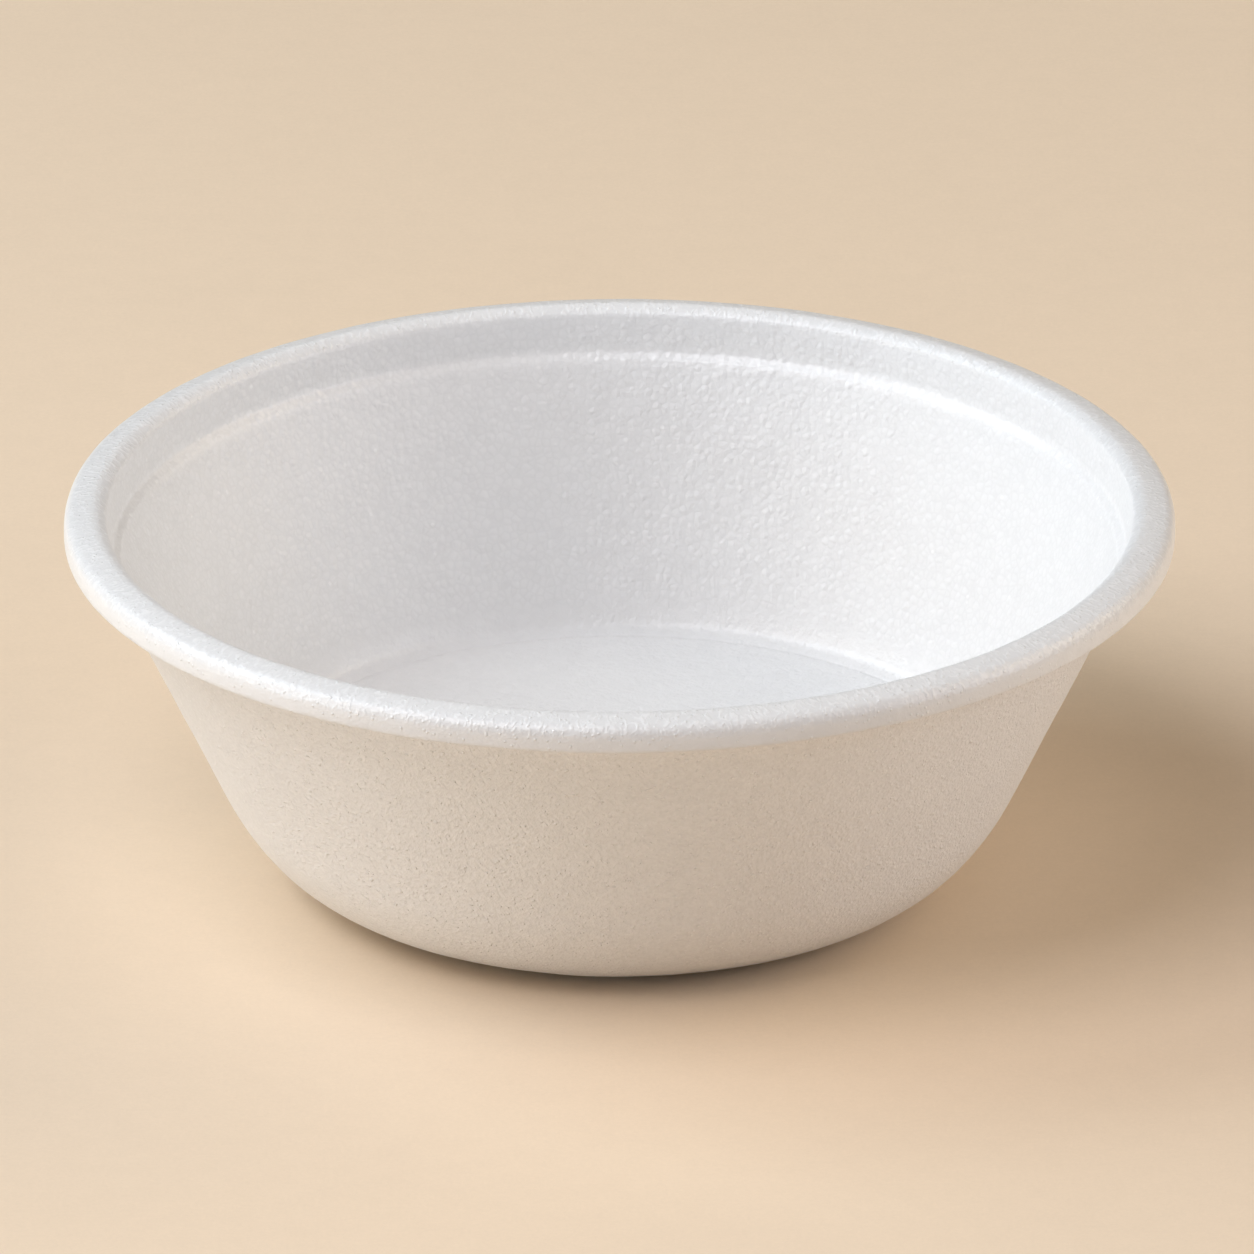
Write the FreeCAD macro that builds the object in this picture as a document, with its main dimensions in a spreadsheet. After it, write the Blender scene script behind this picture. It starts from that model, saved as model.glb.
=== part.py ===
"""Foam bowl: one moulded piece with a thick rim bead, a stacking ledge inside and a raised floor.

Millimetres, +Z up, origin on the table at the centre of the foot.
"""
import FreeCAD, Part
import math
import os

import Sketcher

os.makedirs("parts", exist_ok=True)
doc = FreeCAD.newDocument("FoamBowl")

# Driving dimensions: alias, value, what it is.
DIMENSIONS = [
    ("rim_radius", 76.0, "outermost radius, on the bead"),
    ("crown_level", 53.5, "height where the two slopes of the bead's top would meet"),
    ("bead_depth", 4.65, "from that height down to the bead's lower edge"),
    ("bead_overhang", 4.7, "how far the bead stands out past the wall under it"),
    ("bead_shoulder", 4.4, "long slope of the bead's top, from the outer side in to the crown"),
    ("bead_drop", 0.95, "how far the top falls from the crown to the outer side"),
    ("bead_width", 5.9, "whole top of the bead, to the inner band"),
    ("crown_fall", 1.1, "how far the top falls from the crown to the inner band"),
    ("bead_outer_round", 2.0, "round from the flat outer side to the top"),
    ("crown_round", 2.0, "round over the crown"),
    ("bead_inner_round", 1.0, "round from the inner slope to the inner band"),
    ("bead_lip_round", 0.3, "round on the bead's lower edge"),
    ("bead_root_round", 0.8, "fillet between the bead's underside and the wall"),
    ("ledge_radius", 69.1, "foot of the inner band, at the back of the stacking ledge"),
    ("ledge_level", 47.1, "height of the ledge at its back"),
    ("ledge_width", 1.0, "ledge, measured inwards"),
    ("ledge_fall", 0.8, "how far the ledge slopes down inwards"),
    ("ledge_root_round", 0.4, "fillet at the back of the ledge"),
    ("ledge_nose_round", 0.5, "round on the ledge's front edge"),
    ("floor_level", 12.5, "top of the floor above the table"),
    ("floor_radius", 52.0, "where the inner wall would meet the floor"),
    ("floor_fillet", 2.0, "fillet between floor and wall"),
    ("floor_thickness", 2.7, "floor over the recess"),
    ("heel_radius", 52.9, "where the straight outer wall would meet the heel's slope"),
    ("heel_level", 10.15, "height of that corner"),
    ("heel_upper_round", 32.0, "large arc between the wall and the heel's slope"),
    ("heel_foot_radius", 44.1, "where the heel's slope would meet the table"),
    ("heel_lower_round", 19.5, "arc from the heel's slope to the foot ring"),
    ("foot_inner_radius", 32.0, "inner edge of the flat foot ring"),
    ("foot_round", 0.8, "round on that edge"),
    ("recess_radius", 29.0, "recess under the floor, at its ceiling"),
    ("recess_round", 3.0, "fillet round the recess's ceiling"),
    ("line_radius", 50.0, "line pressed round the floor's edge"),
    ("line_half_width", 0.5, "half the width of that line"),
    ("line_depth", 0.35, "depth of that line"),
    ("line_round", 0.4, "round at the bottom of that line"),
]

sheet = doc.addObject("Spreadsheet::Sheet", "Sizes")
size = {}
for row, (alias, value, note) in enumerate(DIMENSIONS, start=1):
    sheet.set(f"A{row}", note)
    sheet.set(f"B{row}", str(value))
    sheet.setAlias(f"B{row}", alias)
    size[alias] = value
doc.recompute()

# Outlines: corners of half the section as (radius, height, round). A radius or height is a sum of
# the sheet's aliases, with "-" before one that is taken away; "" is the axis or the table.
SHELL = [
    ("", "", None),
    ("heel_foot_radius", "", "heel_lower_round"),
    ("heel_radius", "heel_level", "heel_upper_round"),
    ("rim_radius -bead_overhang", "crown_level -bead_depth", "bead_root_round"),
    ("rim_radius", "crown_level -bead_depth", "bead_lip_round"),
    ("rim_radius", "crown_level -bead_drop", "bead_outer_round"),
    ("rim_radius -bead_shoulder", "crown_level", "crown_round"),
    ("rim_radius -bead_width", "crown_level -crown_fall", "bead_inner_round"),
    ("ledge_radius", "ledge_level", "ledge_root_round"),
    ("ledge_radius -ledge_width", "ledge_level -ledge_fall", "ledge_nose_round"),
    ("floor_radius", "floor_level", "floor_fillet"),
    ("", "floor_level", None),
]
RECESS = [
    ("", "", None),
    ("foot_inner_radius", "", None),
    ("recess_radius", "floor_level -floor_thickness", "recess_round"),
    ("", "floor_level -floor_thickness", None),
]
FLOOR_LINE = [
    ("line_radius -line_half_width", "floor_level", None),
    ("line_radius", "floor_level -line_depth", "line_round"),
    ("line_radius line_half_width", "floor_level", None),
]

START, END = 1, 2
ORIGIN = (-1, 1)
TABLE_AXIS = -1
BOWL_AXIS = -2


def total(words):
    """The value of a sum of aliases."""
    return sum(-size[word[1:]] if word.startswith("-") else size[word] for word in words.split())


def formula(words):
    """The same sum as an expression on the sheet."""
    terms = [f"- Sizes.{word[1:]}" if word.startswith("-") else f"+ Sizes.{word}" for word in words.split()]
    return " ".join(terms).removeprefix("+ ")


def add_rule(sketch, *arguments, words=None):
    """Add a constraint, bound to the sheet where it has a size."""
    index = sketch.addConstraint(Sketcher.Constraint(*arguments))
    if words:
        sketch.setExpression(f"Constraints[{index}]", formula(words))


def place(sketch, geometry, end, radius, height):
    """Hold one point at its radius from the bowl's axis and its height over the table."""
    if radius:
        add_rule(sketch, "DistanceX", *ORIGIN, geometry, end, total(radius), words=radius)
    else:
        add_rule(sketch, "PointOnObject", geometry, end, BOWL_AXIS)
    if height:
        add_rule(sketch, "DistanceY", *ORIGIN, geometry, end, total(height), words=height)
    else:
        add_rule(sketch, "PointOnObject", geometry, end, TABLE_AXIS)


def rounding(before, corner, after, radius):
    """The arc that rounds a corner, its two ends along the outline, and which end comes first."""
    back = (before - corner).normalize()
    ahead = (after - corner).normalize()
    half = back.getAngle(ahead) / 2
    centre = corner + (back + ahead).normalize() * (radius / math.sin(half))
    first = corner + back * (radius / math.tan(half))
    last = corner + ahead * (radius / math.tan(half))
    turns_left = ahead.cross(back).z > 0
    angles = [math.atan2(point.y - centre.y, point.x - centre.x) for point in (first, last)]
    if not turns_left:
        angles.reverse()
    if angles[1] < angles[0]:
        angles[1] += 2 * math.pi
    arc = Part.ArcOfCircle(Part.Circle(centre, FreeCAD.Vector(0, 0, 1), radius), *angles)
    return arc, first, last, (START, END) if turns_left else (END, START)


def draw_outline(body, name, outline):
    """A closed, fully constrained sketch of lines and tangent arcs on the body's XZ plane."""
    sketch = body.newObject("Sketcher::SketchObject", name)
    plane = next(item for item in body.Origin.OriginFeatures if item.Role == "XZ_Plane")
    sketch.AttachmentSupport = (plane, "")
    sketch.MapMode = "FlatFace"

    corners = [FreeCAD.Vector(total(radius), total(height), 0) for radius, height, _ in outline]
    count = len(corners)
    arcs = {}
    for index, (_, _, bend) in enumerate(outline):
        if bend:
            after = corners[(index + 1) % count]
            arcs[index] = rounding(corners[index - 1], corners[index], after, size[bend])

    lines = []
    for index in range(count):
        following = (index + 1) % count
        begin = arcs[index][2] if index in arcs else corners[index]
        finish = arcs[following][1] if following in arcs else corners[following]
        lines.append(sketch.addGeometry(Part.LineSegment(begin, finish), False))

    for index, (radius, height, bend) in enumerate(outline):
        arriving = lines[index - 1]
        leaving = lines[index]
        if bend:
            arc, _, _, (first_end, last_end) = arcs[index]
            curve = sketch.addGeometry(arc, False)
            guide = sketch.addGeometry(Part.Point(corners[index]), True)
            place(sketch, guide, START, radius, height)
            add_rule(sketch, "Tangent", arriving, END, curve, first_end)
            add_rule(sketch, "Tangent", curve, last_end, leaving, START)
            add_rule(sketch, "Radius", curve, size[bend], words=bend)
            add_rule(sketch, "PointOnObject", guide, START, arriving)
            add_rule(sketch, "PointOnObject", guide, START, leaving)
        else:
            add_rule(sketch, "Coincident", arriving, END, leaving, START)
            place(sketch, leaving, START, radius, height)
    return sketch


def turn(body, kind, name, outline):
    """Turn an outline about the bowl's axis, to add it (Revolution) or to cut it away (Groove)."""
    sketch = draw_outline(body, name + "Outline", outline)
    feature = body.newObject("PartDesign::" + kind, name)
    feature.Profile = sketch
    feature.ReferenceAxis = (sketch, ["V_Axis"])
    feature.Angle = 360.0
    doc.recompute()
    return feature


def find_circle(shape, radius, height):
    """The name of the circular edge of that radius at that height."""
    for index, edge in enumerate(shape.Edges, start=1):
        circle = edge.Curve
        if isinstance(circle, Part.Circle) and abs(circle.Radius - radius) < 0.01:
            if abs(circle.Center.z - height) < 0.01:
                return f"Edge{index}"
    raise ValueError(f"no circular edge of radius {radius} at height {height}")


bowl = doc.addObject("PartDesign::Body", "Bowl")
bowl.Label = "bowl"

shell = turn(bowl, "Revolution", "Shell", SHELL)
recess = turn(bowl, "Groove", "Recess", RECESS)

foot_edge = bowl.newObject("PartDesign::Fillet", "FootEdge")
foot_edge.Base = (recess, [find_circle(recess.Shape, size["foot_inner_radius"], 0.0)])
foot_edge.setExpression("Radius", "Sizes.foot_round")
doc.recompute()

floor_line = turn(bowl, "Groove", "FloorLine", FLOOR_LINE)
bowl.Tip = floor_line
doc.recompute()

# Each cut takes material away, and nothing failed without a word.
volumes = [feature.Shape.Volume for feature in (shell, recess, foot_edge, floor_line)]
assert all(later < earlier for earlier, later in zip(volumes, volumes[1:])), volumes
for item in doc.Objects:
    assert not {"Invalid", "Error"} & set(item.State), (item.Name, item.State)
assert not bowl.Shape.isNull() and bowl.Shape.isValid() and len(bowl.Shape.Solids) == 1

bowl.Shape.exportStep(f"parts/{bowl.Label}.step")
print(f"{bowl.Label}: {bowl.Shape.Volume / 1000:.2f} cm3 in {len(bowl.Shape.Faces)} faces")
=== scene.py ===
"""A white foam bowl on a warm pale floor: the moulded foam's surface, the light and the camera.

Metres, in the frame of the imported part: +Z up, origin on the table at the centre of the foot.
"""
import math

import bmesh
import bpy
import numpy as np
from mathutils import Matrix, Vector


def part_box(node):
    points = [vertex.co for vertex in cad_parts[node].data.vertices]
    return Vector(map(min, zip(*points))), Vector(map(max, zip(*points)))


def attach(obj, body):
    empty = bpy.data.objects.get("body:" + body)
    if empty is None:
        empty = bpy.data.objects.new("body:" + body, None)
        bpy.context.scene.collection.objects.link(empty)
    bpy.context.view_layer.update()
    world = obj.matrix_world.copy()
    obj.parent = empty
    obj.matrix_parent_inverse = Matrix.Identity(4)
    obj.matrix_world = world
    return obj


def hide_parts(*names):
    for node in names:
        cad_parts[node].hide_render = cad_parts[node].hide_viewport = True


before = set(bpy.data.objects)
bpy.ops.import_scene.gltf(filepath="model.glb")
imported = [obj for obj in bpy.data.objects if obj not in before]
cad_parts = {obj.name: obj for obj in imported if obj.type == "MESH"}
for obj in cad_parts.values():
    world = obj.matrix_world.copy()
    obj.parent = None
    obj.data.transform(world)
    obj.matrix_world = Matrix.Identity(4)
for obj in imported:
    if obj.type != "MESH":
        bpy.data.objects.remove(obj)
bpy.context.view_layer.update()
scene = bpy.context.scene
MM = 0.001

RIM_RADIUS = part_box("bowl")[1].x
BOWL_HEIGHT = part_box("bowl")[1].z


# --- The section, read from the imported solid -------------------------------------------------

MERGE_DISTANCE = 0.001 * MM
CUT_TILT = 0.02
SECTION_SPACING = 0.2 * MM
SOFTENING_PASSES = 1
SECTION_POINTS = 205
TURN_WEIGHT = 4.0 * MM
AROUND = 480


def cut_section(node):
    """Half of the solid's section as an array of (radius, height), from the underside's centre
    round the bead to the floor's centre. The cut is turned a little from the X axis, where the
    solid's seam is."""
    work = bmesh.new()
    work.from_mesh(node.data)
    bmesh.ops.remove_doubles(work, verts=work.verts, dist=MERGE_DISTANCE)
    everything = work.verts[:] + work.edges[:] + work.faces[:]
    plane = Vector((CUT_TILT, 1.0, 0.0)).normalized()
    cut = bmesh.ops.bisect_plane(work, geom=everything, plane_co=(0, 0, 0), plane_no=plane)
    edges = [item for item in cut["geom_cut"] if isinstance(item, bmesh.types.BMEdge)]
    right = [edge for edge in edges if max(vert.co.x for vert in edge.verts) > 0]
    links = {}
    for edge in right:
        for vert in edge.verts:
            links.setdefault(vert, []).append(edge.other_vert(vert))
    ends = [vert for vert, others in links.items() if len(others) == 1]
    step = min(ends, key=lambda vert: vert.co.z)
    path = [step]
    while len(path) == 1 or len(links[step]) == 2:
        step = next(vert for vert in links[step] if vert not in path[-2:])
        path.append(step)
    section = np.array([(math.copysign(math.hypot(v.co.x, v.co.y), v.co.x), v.co.z) for v in path])
    work.free()
    section[0, 0] = section[-1, 0] = 0.0
    return section


def arc_lengths(points):
    """How far along the line each of its points lies."""
    steps = np.hypot(*np.diff(points, axis=0).T)
    return np.concatenate([[0.0], np.cumsum(steps)])


def resample(points, stations, target):
    """Points at the target stations along a line whose own points lie at the given stations."""
    return np.stack([np.interp(target, stations, points[:, axis]) for axis in (0, 1)], axis=1)


def soften(section, spacing, passes):
    """The section at an even spacing, with the moulded foam's slightly soft corners."""
    length = arc_lengths(section)
    count = int(length[-1] / spacing)
    even = resample(section, length, np.linspace(0.0, length[-1], count))
    for _ in range(passes):
        even[1:-1] = (even[:-2] + 2 * even[1:-1] + even[2:]) / 4
    return even


def spread_by_shape(section, count, turn_weight):
    """The section with its points closer together where it turns."""
    length = arc_lengths(section)
    heading = np.unwrap(np.arctan2(*np.gradient(section, axis=0).T[::-1]))
    turning = np.abs(np.gradient(heading, length))
    cost = np.concatenate([[0.0], np.cumsum((1 + turn_weight * turning[1:]) * np.diff(length))])
    return resample(section, cost, np.linspace(0.0, cost[-1], count))


section = soften(cut_section(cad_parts["bowl"]), SECTION_SPACING, SOFTENING_PASSES)
section = spread_by_shape(section, SECTION_POINTS, TURN_WEIGHT)


# --- Where each kind of surface lies along the section ----------------------------------------

# Distances along the section: the bead's from its crown, the floor's from the floor's edge.
SIDE_REACH = 7.4 * MM
TOP_REACH = 4.3 * MM
BEAD_INSIDE = 1.7 * MM
BEAD_BLEND = 1.4 * MM
FLOOR_BLEND = 1.2 * MM

# Heights: the ledge's above the table, the others above the floor.
LEDGE_TOP = 47.5 * MM
LEDGE_LOW = 46.2 * MM
FLOOR_EDGE_ABOVE = 2.2 * MM
FILLET_TOP = 2.0 * MM
FILLET_LOW = 0.6 * MM
LINE_BLEND = 0.5 * MM

# How smooth the fillet is beside the ledge, and how much of the ledge's painted highlight it gets.
FILLET_SHARE = 0.7


def ramp(values, start, end):
    """0 at start, 1 at end, smooth between."""
    part = np.clip((values - start) / (end - start), 0.0, 1.0)
    return part * part * (3 - 2 * part)


def find_zones(section):
    """How much each point of the section belongs to the bead's side and top, the inner wall and the
    inner floor. What is left over is the outside."""
    along = arc_lengths(section)
    crown = along[np.argmax(section[:, 1])]
    side = ramp(along, crown - SIDE_REACH - BEAD_BLEND, crown - SIDE_REACH)
    top = ramp(along, crown - TOP_REACH - BEAD_BLEND, crown - TOP_REACH)
    inside = ramp(along, crown + BEAD_INSIDE, crown + BEAD_INSIDE + BEAD_BLEND)
    floor_edge = along[np.flatnonzero(section[:, 1] > section[-1, 1] + FLOOR_EDGE_ABOVE)[-1]]
    floor = ramp(along, floor_edge - FLOOR_BLEND, floor_edge + FLOOR_BLEND)
    return {"bead_side": side - top, "bead_top": top - inside, "inner_wall": inside - floor,
            "inner_floor": floor}


def find_lines(section, zones):
    """How much each point belongs to the stacking ledge or to the fillet round the floor, where the
    skin is pressed smoother and a painted highlight makes the colour lighter."""
    height = section[:, 1]
    floor_level = section[-1, 1]

    def level_band(low, high):
        return ramp(height, high + LINE_BLEND, high) * ramp(height, low - LINE_BLEND, low)

    ledge = level_band(LEDGE_LOW, LEDGE_TOP)
    fillet = level_band(floor_level + FILLET_LOW, floor_level + FILLET_TOP)
    return (zones["inner_wall"] + zones["inner_floor"]) * np.maximum(ledge, FILLET_SHARE * fillet)


zones = find_zones(section)
smooth_highlit_lines = find_lines(section, zones)


# --- The bowl ---------------------------------------------------------------------------------

RELIEF_SEED = 11
RELIEF_WAVES = 90
RELIEF_SHORTEST = 4.0 * MM
RELIEF_LONGEST = 30.0 * MM
RELIEF_REACH = 2.0
FOOT_ABOVE = 1.0 * MM

# The skin sinks by 0 to 4 times this depth, because the waves are clipped at RELIEF_REACH.
OUTSIDE_DEPTH = 0.030 * MM
ZONE_DEPTH = {"bead_side": 0.022 * MM, "bead_top": 0.022 * MM, "inner_wall": 0.045 * MM,
              "inner_floor": 0.020 * MM}


def wave_field(points, seed):
    """A smooth random field at the points, mostly between -1 and 1: plane waves of mixed length."""
    rng = np.random.default_rng(seed)
    directions = rng.normal(size=(RELIEF_WAVES, 3))
    directions /= np.linalg.norm(directions, axis=1)[:, None]
    lengths = RELIEF_SHORTEST * (RELIEF_LONGEST / RELIEF_SHORTEST) ** rng.random(RELIEF_WAVES)
    phases = rng.uniform(0, 2 * math.pi, RELIEF_WAVES)
    strengths = np.sqrt(lengths / RELIEF_LONGEST)
    field = np.zeros(len(points))
    for direction, length, phase, strength in zip(directions, lengths, phases, strengths):
        field += strength * np.sin(points @ direction * (2 * math.pi / length) + phase)
    return field / np.sqrt(np.sum(strengths ** 2))


def turn_section(section, around):
    """Points of the section turned about Z, as (ring, step, xyz), without its ends on the axis."""
    angles = np.linspace(0.0, 2 * math.pi, around, endpoint=False)
    rings = section[1:-1]
    points = np.empty((len(rings), around, 3))
    points[..., 0] = rings[:, None, 0] * np.cos(angles)
    points[..., 1] = rings[:, None, 0] * np.sin(angles)
    points[..., 2] = rings[:, None, 1]
    return points


def outward_normals(section, around):
    """The solid's outward normals at the same points."""
    along = np.gradient(section, axis=0)[1:-1]
    along /= np.linalg.norm(along, axis=1)[:, None]
    normals = np.stack([along[:, 1], -along[:, 0]], axis=1)
    return turn_section(np.vstack([[0, 0], normals, [0, 0]]), around)


def press_relief(section, zones, points):
    """The moulded skin's gentle unevenness. It only sinks below the solid's surface, and the foot
    stays flat."""
    depth = sum(ZONE_DEPTH[name] * zone for name, zone in zones.items())
    depth += OUTSIDE_DEPTH * (1 - sum(zones.values()))
    depth *= ramp(section[:, 1], 0.0, FOOT_ABOVE)
    field = wave_field(points.reshape(-1, 3), RELIEF_SEED).reshape(points.shape[:2])
    sink = depth[1:-1, None] * (np.clip(field, -RELIEF_REACH, RELIEF_REACH) - RELIEF_REACH)
    return points + sink[..., None] * outward_normals(section, points.shape[1])


def weave_faces(rings, around):
    """Quads between the rings, and a fan at each end. The two poles are the last two points."""
    under, top = rings * around, rings * around + 1
    last = (rings - 1) * around
    faces = []
    for here in range(around):
        there = (here + 1) % around
        faces.append((under, there, here))
        faces.append((top, last + here, last + there))
        for ring in range(rings - 1):
            low, high = ring * around, (ring + 1) * around
            faces.append((low + here, low + there, high + there, high + here))
    return faces


def write_attribute(mesh, name, kind, field, values):
    """Values for every point of the mesh, under a name that the material reads."""
    made = mesh.attributes.new(name, kind, "POINT")
    made.data.foreach_set(field, np.ascontiguousarray(values, dtype=np.float32).ravel())


def make_bowl(name, section, zones, smooth_highlit_lines, around):
    """The bowl's mesh, with its zones and the streaks' own coordinates as attributes."""
    points = press_relief(section, zones, turn_section(section, around))
    ends = [[0, 0, section[0, 1]], [0, 0, section[-1, 1]]]
    corners = np.vstack([points.reshape(-1, 3), ends]).tolist()
    mesh = bpy.data.meshes.new(name)
    mesh.from_pydata(corners, [], weave_faces(len(points), around))
    mesh.shade_smooth()
    for zone, amount in [*zones.items(), ("line", smooth_highlit_lines)]:
        spread = np.append(np.repeat(amount[1:-1], around), amount[[0, -1]])
        write_attribute(mesh, zone, "FLOAT", "value", spread)
    angles = np.linspace(0.0, 2 * math.pi, around, endpoint=False)
    wrap = np.empty(points.shape)
    wrap[..., 0] = RIM_RADIUS * np.cos(angles)
    wrap[..., 1] = RIM_RADIUS * np.sin(angles)
    wrap[..., 2] = arc_lengths(section)[1:-1, None]
    wrap = np.vstack([wrap.reshape(-1, 3), np.zeros((2, 3))])
    write_attribute(mesh, "wrap", "FLOAT_VECTOR", "vector", wrap)
    return mesh


bowl_mesh = make_bowl("foam_bowl", section, zones, smooth_highlit_lines, AROUND)
bowl = bpy.data.objects.new("foam_bowl", bowl_mesh)
scene.collection.objects.link(bowl)
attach(bowl, "root")
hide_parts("bowl")


# --- The foam's surface -----------------------------------------------------------------------

class Nodes:
    """A material's nodes, made in reading order."""

    def __init__(self, name):
        self.material = bpy.data.materials.new(name)
        self.material.use_nodes = True
        self.tree = self.material.node_tree
        self.shader = self.tree.nodes["Principled BSDF"]

    def fill(self, socket, value):
        if isinstance(value, bpy.types.NodeSocket):
            self.tree.links.new(value, socket)
        else:
            socket.default_value = value

    def add(self, kind, inputs, output=0, **settings):
        node = self.tree.nodes.new("ShaderNode" + kind)
        for name, value in settings.items():
            setattr(node, name, value)
        for name, value in inputs.items():
            self.fill(node.inputs[name], value)
        return node.outputs[output]

    def math(self, operation, *values):
        return self.add("Math", dict(enumerate(values)), operation=operation)

    def vector(self, operation, *values):
        return self.add("VectorMath", dict(enumerate(values)), operation=operation)

    def scaled(self, vector, scale):
        return self.add("VectorMath", {"Vector": vector, "Scale": scale}, operation="SCALE")

    def attribute(self, name, output="Fac"):
        return self.add("Attribute", {}, output, attribute_name=name)

    def noise(self, vector, size, detail=2.0, roughness=0.5, output="Fac"):
        """Noise with features of about the given size, in the vector's units."""
        inputs = {"Vector": vector, "Scale": 1 / size, "Detail": detail, "Roughness": roughness}
        return self.add("TexNoise", inputs, output)

    def voronoi(self, vector, size, randomness, feature="F1"):
        """Distance to the middle or the edge of cells of the given size, in cells."""
        inputs = {"Vector": vector, "Scale": 1 / size, "Randomness": randomness}
        return self.add("TexVoronoi", inputs, "Distance", feature=feature)

    def ramp(self, value, start, end, low=0.0, high=1.0):
        """Low at start, high at end, smooth between."""
        inputs = {"Value": value, "From Min": start, "From Max": end, "To Min": low, "To Max": high}
        return self.add("MapRange", inputs, interpolation_type="SMOOTHSTEP")

    def weighted(self, *pairs):
        """The sum of value times weight."""
        total = None
        for value, weight in pairs:
            part = self.math("MULTIPLY", value, weight)
            total = part if total is None else self.math("ADD", total, part)
        return total


# Millimetres on the bowl.
CELL_SIZE = 1.15
CELL_WARP = 0.15
CELL_RELIEF = 0.062
BUMP_SIZE = 0.90
BUMP_RELIEF = 0.095
PEBBLE_SIZE = 2.2
PEBBLE_RELIEF = 0.07
GRAIN_SIZE = 0.35
GRAIN_RELIEF = 0.020
OUTER_GRAIN_SIZE = 0.55
OUTER_GRAIN_RELIEF = 0.26
SIDE_GRAIN_RELIEF = 0.08
FLOOR_GRAIN_SIZE = 0.85
FLOOR_GRAIN_RELIEF = 0.17
MOTTLE_SIZE = 3.5
STREAK_WIDTH = 0.62
STREAK_LENGTH = 0.95
STREAK_CURL_SIZE = 1.6
STREAK_RELIEF = 0.045
SPECK_SPACING = 4.0
SPECK_RADIUS = 0.40
SPECK_RISE = 0.03
GLINT_SPACING = 1.0
GLINT_RADIUS = 0.26
GLINT_RISE = 0.12

# Parts of a cell's size or height.
CELL_RANDOM = 0.85
CELL_UNEVEN = 0.6
DOME_RADIUS = 0.70
GROOVE_WIDTH = 0.22

# How far the streaks curl, in their own widths and lengths, and the values of their noise at which
# a streak starts and is full.
STREAK_CURL = 0.9
STREAK_START = 0.42
STREAK_FULL = 0.70

# Parts of a dot's radius that are flat on top.
SPECK_FLAT = 0.4
GLINT_FLAT = 0.3

# How much of the bead's smoothness the outside and the bead's side have, and how much of the
# outside's glints the bead has.
OUTSIDE_SMOOTHNESS = 0.4
BEAD_GLINTS = 0.6

OUTER_GRAIN_ROUGHNESS = 0.6
WALL_ROUGHNESS = 0.46
BEAD_ROUGHNESS = 0.28
FOAM_COLOR = (0.822, 0.816, 0.814)

# Changes of the foam's colour, as parts of it. The lighter ledge line and fillet and the lighter
# glints are painted highlights, and the darker grooves between the cells are partly the cells' dark
# borders and partly painted shade.
OUTSIDE_LIGHTER = 0.045
BEAD_DARKER = 0.055
LINE_PAINTED_HIGHLIGHT = 0.035
FLOOR_DARKER = 0.025
INSIDE_DARKER = 0.02
GROOVE_SHADE = 0.035
CELL_TINT = 0.02
SPECK_TINT = 0.09
GLINT_PAINTED_HIGHLIGHT = 0.13
STREAK_TINT = 0.08
GRAIN_TINT = 0.22
MOTTLE_TINT = 0.05

foam = Nodes("foam")
place = foam.scaled(foam.add("TexCoord", {}, "Object"), 1 / MM)


def drift(size, amount):
    """A smooth random shift of up to the amount each way, which changes over the size."""
    wander = foam.noise(place, size, 1.0, output="Color")
    return foam.scaled(foam.vector("SUBTRACT", wander, (0.5, 0.5, 0.5)), 2 * amount)


warped = foam.vector("ADD", place, drift(PEBBLE_SIZE, CELL_WARP))

# Each zone's mask, 1 in the zone and 0 elsewhere, with a soft edge.
bead_side = foam.attribute("bead_side")
bead_top = foam.attribute("bead_top")
inner_wall = foam.attribute("inner_wall")
inner_floor = foam.attribute("inner_floor")
line = foam.attribute("line")
all_zones = foam.weighted((bead_side, 1.0), (bead_top, 1.0), (inner_wall, 1.0), (inner_floor, 1.0))
outside = foam.math("SUBTRACT", 1.0, all_zones)
smooth_parts = foam.weighted((bead_top, 1.0), (line, 1.0), (outside, OUTSIDE_SMOOTHNESS),
                             (bead_side, OUTSIDE_SMOOTHNESS))
glinting_parts = foam.weighted((outside, 1.0), (bead_side, BEAD_GLINTS), (bead_top, BEAD_GLINTS))

# The patterns. Cells, pebbles, bumps and specks are on the inner wall, the outer grain is on the
# outside and the bead's side, glints are there and on the bead's top, and streaks are on the bead's
# top. The fine grain and the mottle are everywhere. The glints are raised dots that also carry a
# painted highlight.
cell_middle = foam.voronoi(warped, CELL_SIZE, CELL_RANDOM)
cell_edge = foam.voronoi(warped, CELL_SIZE, CELL_RANDOM, "DISTANCE_TO_EDGE")
cell_chance = foam.add("SeparateColor", {0: cell_middle.node.outputs["Color"]}, 0)
dome = foam.ramp(cell_middle, DOME_RADIUS, 0.0)
cell_top = foam.ramp(cell_chance, 0.0, 1.0, 1 - CELL_UNEVEN / 2, 1 + CELL_UNEVEN / 2)
cells = foam.math("MULTIPLY", dome, cell_top)
pebbles = foam.noise(place, PEBBLE_SIZE, 1.0)
grain = foam.noise(place, GRAIN_SIZE, 1.0)
outer_grain = foam.noise(warped, OUTER_GRAIN_SIZE, 2.0, OUTER_GRAIN_ROUGHNESS)
floor_grain = foam.noise(place, FLOOR_GRAIN_SIZE, 2.0)
bumps = foam.noise(place, BUMP_SIZE, 1.0)
mottle = foam.noise(place, MOTTLE_SIZE, 2.0)

wrap = foam.vector("MULTIPLY", foam.attribute("wrap", "Vector"),
                   (1 / (STREAK_WIDTH * MM), 1 / (STREAK_WIDTH * MM), 1 / (STREAK_LENGTH * MM)))
streak_noise = foam.noise(foam.vector("ADD", wrap, drift(STREAK_CURL_SIZE, STREAK_CURL)), 1.0, 1.0)
streaks = foam.ramp(streak_noise, STREAK_START, STREAK_FULL)


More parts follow.
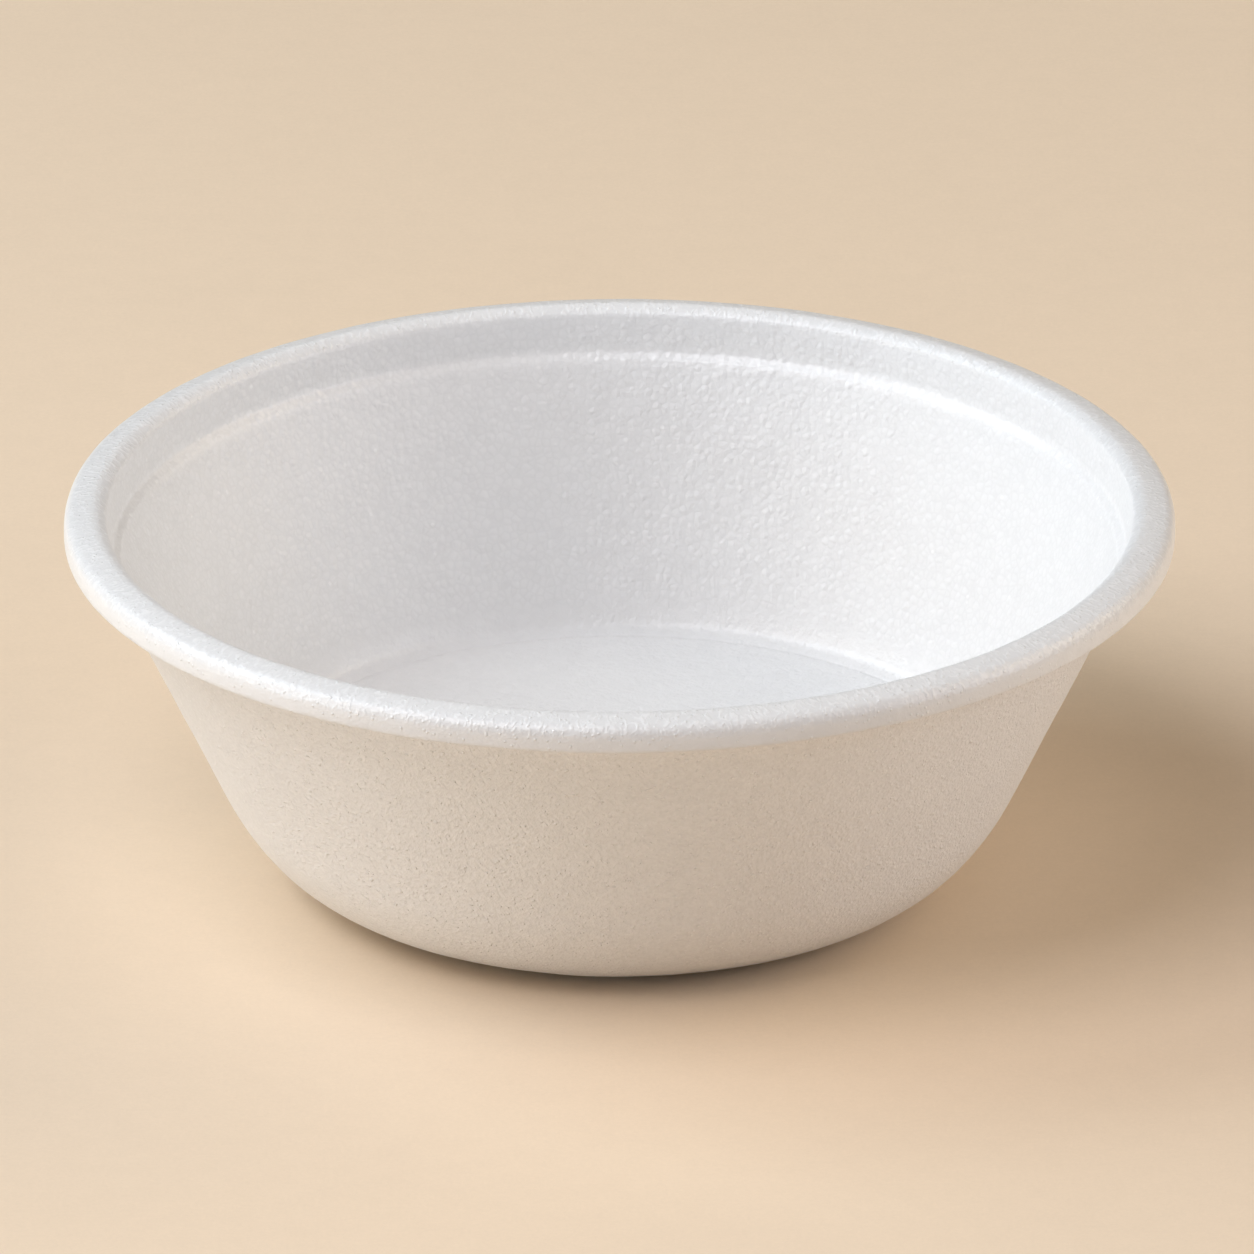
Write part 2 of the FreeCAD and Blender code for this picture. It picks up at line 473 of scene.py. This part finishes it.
def dots(spacing, radius, flat):
    """Round dots, one in each cell of the spacing, flat on top for that part of the radius."""
    distance = foam.voronoi(place, spacing, 1.0)
    return foam.ramp(distance, radius / spacing, flat * radius / spacing)


specks = dots(SPECK_SPACING, SPECK_RADIUS, SPECK_FLAT)
glints = dots(GLINT_SPACING, GLINT_RADIUS, GLINT_FLAT)

height = foam.weighted(
    (foam.math("MULTIPLY", cells, inner_wall), CELL_RELIEF),
    (foam.math("MULTIPLY", pebbles, inner_wall), PEBBLE_RELIEF),
    (foam.math("MULTIPLY", bumps, inner_wall), BUMP_RELIEF),
    (foam.math("MULTIPLY", outer_grain, outside), OUTER_GRAIN_RELIEF),
    (foam.math("MULTIPLY", outer_grain, bead_side), SIDE_GRAIN_RELIEF),
    (foam.math("MULTIPLY", floor_grain, inner_floor), FLOOR_GRAIN_RELIEF),
    (foam.math("MULTIPLY", streaks, bead_top), STREAK_RELIEF),
    (foam.math("MULTIPLY", specks, inner_wall), SPECK_RISE),
    (foam.math("MULTIPLY", glints, glinting_parts), GLINT_RISE),
    (grain, GRAIN_RELIEF),
)
bump = foam.add("Bump", {"Height": height, "Distance": MM, "Strength": 1.0})

# The grooves between the cells are darker, partly as the cells' dark borders and partly as painted
# shade; the lighter line and glints below are painted highlights.
groove = foam.math("MULTIPLY", foam.ramp(cell_edge, GROOVE_WIDTH, 0.0), inner_wall)
shade = foam.math("ADD", 1.0, foam.weighted(
    (groove, -GROOVE_SHADE),
    (foam.math("SUBTRACT", cell_chance, 0.5), CELL_TINT),
    (foam.math("SUBTRACT", mottle, 0.5), MOTTLE_TINT),
    (foam.math("MULTIPLY", streaks, bead_top), STREAK_TINT),
    (foam.math("MULTIPLY", specks, inner_wall), SPECK_TINT),
    (foam.math("MULTIPLY", glints, glinting_parts), GLINT_PAINTED_HIGHLIGHT),
    (foam.math("MULTIPLY", foam.math("SUBTRACT", outer_grain, 0.5), outside), GRAIN_TINT),
    (line, LINE_PAINTED_HIGHLIGHT),
    (inner_floor, -FLOOR_DARKER),
    (outside, OUTSIDE_LIGHTER),
    (bead_top, -BEAD_DARKER),
    (inner_wall, -INSIDE_DARKER),
))
foam.fill(foam.shader.inputs["Base Color"], foam.scaled(FOAM_COLOR, shade))
roughness = foam.ramp(smooth_parts, 0.0, 1.0, WALL_ROUGHNESS, BEAD_ROUGHNESS)
foam.fill(foam.shader.inputs["Roughness"], roughness)
foam.fill(foam.shader.inputs["Normal"], bump)
bowl.data.materials.append(foam.material)


# --- Floor ------------------------------------------------------------------------------------

FLOOR_SIZE = 6.0
FLOOR_COLOR = (0.782, 0.633, 0.478)
PAPER_MOTTLE = ((0.35, 0.03), (0.8, 0.03), (4.0, 0.02), (25.0, 0.014))  # size in mm, amount
PAPER_ROUGHNESS = 0.8
PAPER_SPECULAR = 0.15

floor_mesh = bpy.data.meshes.new("floor")
half = FLOOR_SIZE / 2
corners = [(-half, -half, 0), (half, -half, 0), (half, half, 0), (-half, half, 0)]
floor_mesh.from_pydata(corners, [], [(0, 1, 2, 3)])
floor = bpy.data.objects.new("floor", floor_mesh)
scene.collection.objects.link(floor)
paper = Nodes("paper")
sheet_place = paper.scaled(paper.add("TexCoord", {}, "Object"), 1 / MM)
mottles = [(paper.noise(sheet_place, size, 2.0), 2 * amount) for size, amount in PAPER_MOTTLE]
middle = 1 - sum(amount for _, amount in PAPER_MOTTLE)
paper.fill(paper.shader.inputs["Base Color"],
           paper.scaled(FLOOR_COLOR, paper.math("ADD", paper.weighted(*mottles), middle)))
paper.shader.inputs["Roughness"].default_value = PAPER_ROUGHNESS
paper.shader.inputs["Specular IOR Level"].default_value = PAPER_SPECULAR
floor_mesh.materials.append(paper.material)


# --- Light ------------------------------------------------------------------------------------

LIGHT_DISTANCE = 1.5


def soft_box(name, azimuth, elevation, size, watts):
    """A square soft box that points at the bowl, with its power as red, green and blue watts.
    Azimuth 0 is +X, and 90 is +Y, away from the camera."""
    light = bpy.data.lights.new(name, "AREA")
    light.shape = "SQUARE"
    light.size = size
    light.energy = max(watts)
    light.color = [part / max(watts) for part in watts]
    holder = bpy.data.objects.new(name, light)
    azimuth, elevation = math.radians(azimuth), math.radians(elevation)
    target = Vector((0, 0, BOWL_HEIGHT / 2))
    level = math.cos(elevation)
    away = Vector((level * math.cos(azimuth), level * math.sin(azimuth), math.sin(elevation)))
    holder.location = target + LIGHT_DISTANCE * away
    holder.rotation_euler = (-away).to_track_quat("-Z", "Y").to_euler()
    scene.collection.objects.link(holder)


soft_box("key_low", 200, 24, 0.9, (6.3, 5.7, 4.9))
soft_box("key_back", 165, 42, 0.9, (10.5, 11.8, 12.6))
soft_box("key_front", 225, 58, 0.9, (10.8, 10.6, 11.1))
soft_box("key_side", 205, 6.5, 0.3, (1.9, 2.5, 3.1))
soft_box("fill_warm", 20, 30, 1.0, (8.2, 6.9, 5.1))
soft_box("fill_low", -15, 20, 1.0, (7.3, 7.4, 7.9))

world = bpy.data.worlds.new("studio")
world.use_nodes = True
world.node_tree.nodes["Background"].inputs["Strength"].default_value = 0.0
scene.world = world


# --- Camera -----------------------------------------------------------------------------------

CAMERA_ELEVATION = math.radians(23.721)
CAMERA_DISTANCE = 45.0 * RIM_RADIUS
CAMERA_LENS = 714.16
CAMERA_SENSOR = 36.0
CAMERA_CLIP = (0.1, 100.0)
CAMERA_AIM = Vector((0.0131, 0.0, 0.4601)) * RIM_RADIUS
CAMERA_ROLL = math.radians(-0.098)

camera = bpy.data.objects.new("camera", bpy.data.cameras.new("camera"))
camera.data.lens = CAMERA_LENS
camera.data.sensor_width = CAMERA_SENSOR
camera.data.clip_start, camera.data.clip_end = CAMERA_CLIP
camera.location = CAMERA_DISTANCE * Vector((0.0, -math.cos(CAMERA_ELEVATION),
                                            math.sin(CAMERA_ELEVATION)))
look = (CAMERA_AIM - camera.location).to_track_quat("-Z", "Y").to_matrix()
camera.rotation_euler = (look @ Matrix.Rotation(CAMERA_ROLL, 3, "Z")).to_euler()
scene.collection.objects.link(camera)
scene.camera = camera

scene.view_settings.view_transform = "Standard"
